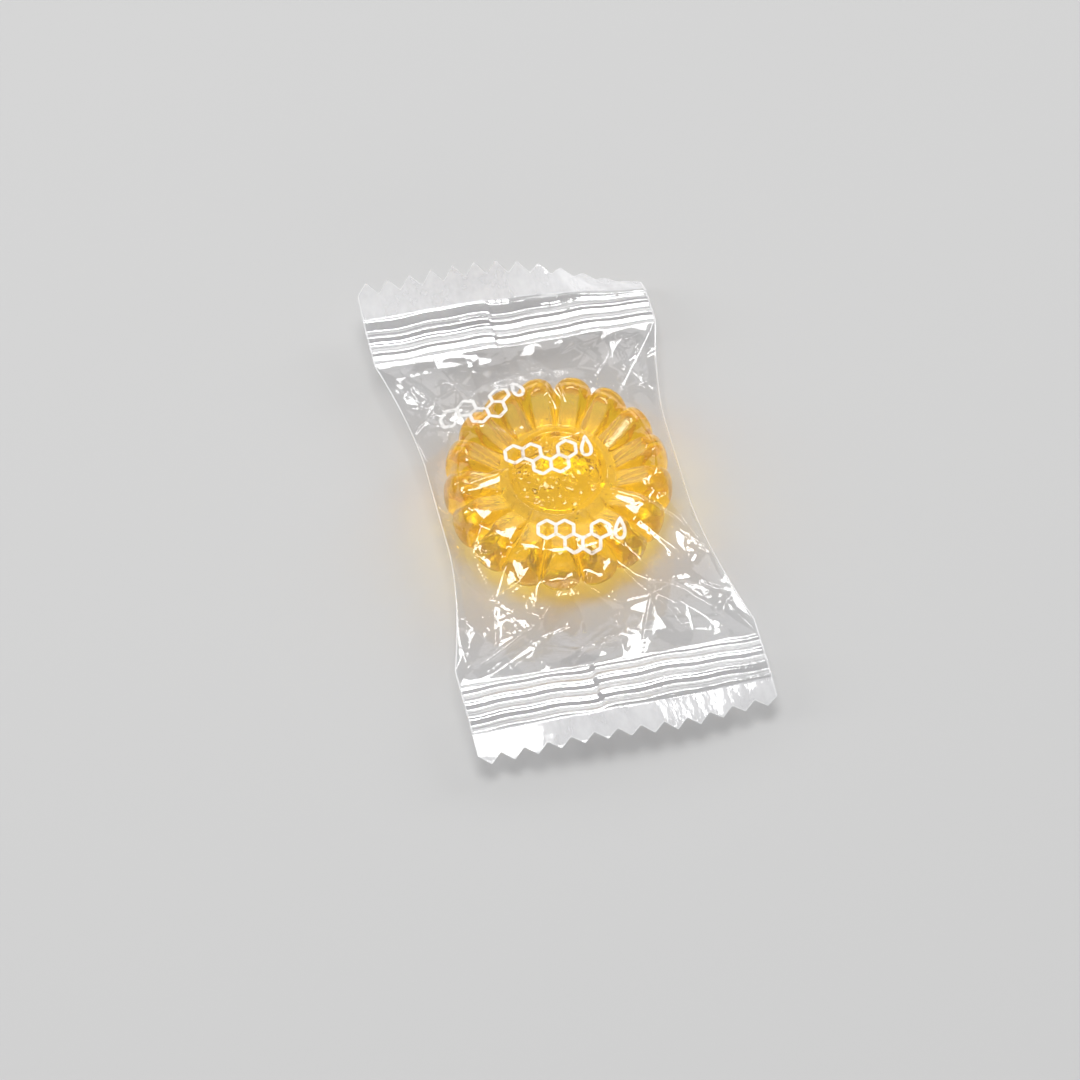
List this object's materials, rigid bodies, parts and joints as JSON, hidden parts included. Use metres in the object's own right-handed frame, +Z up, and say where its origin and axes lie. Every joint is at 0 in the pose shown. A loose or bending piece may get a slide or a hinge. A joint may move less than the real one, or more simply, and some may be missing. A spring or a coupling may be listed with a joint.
{
  "type": "wrapped honey candy",
  "caption": "Flower-shaped hard honey candy sealed in a clear film packet with ribbed, zigzag-cut end seals, lying flat.",
  "frame": {"origin": "middle of the packet's box on the surface that it lies on", "axes": "+Z up out of the packet's front, +Y along the packet to the end seal that the candy sits nearer, +X across it"},
  "size_m": [0.032, 0.0588, 0.0079],
  "materials": {
    "clear_film": "thin clear glossy packing film, creased, with pressed ribs at both ends",
    "honey_candy": "clear amber boiled sugar, glossy, with fine bubbles in the middle disc",
    "white_print": "thin white ink on the film"
  },
  "bodies": {
    "root": {"sealed_wrapper": "clear_film"}
  },
  "joints": []
}
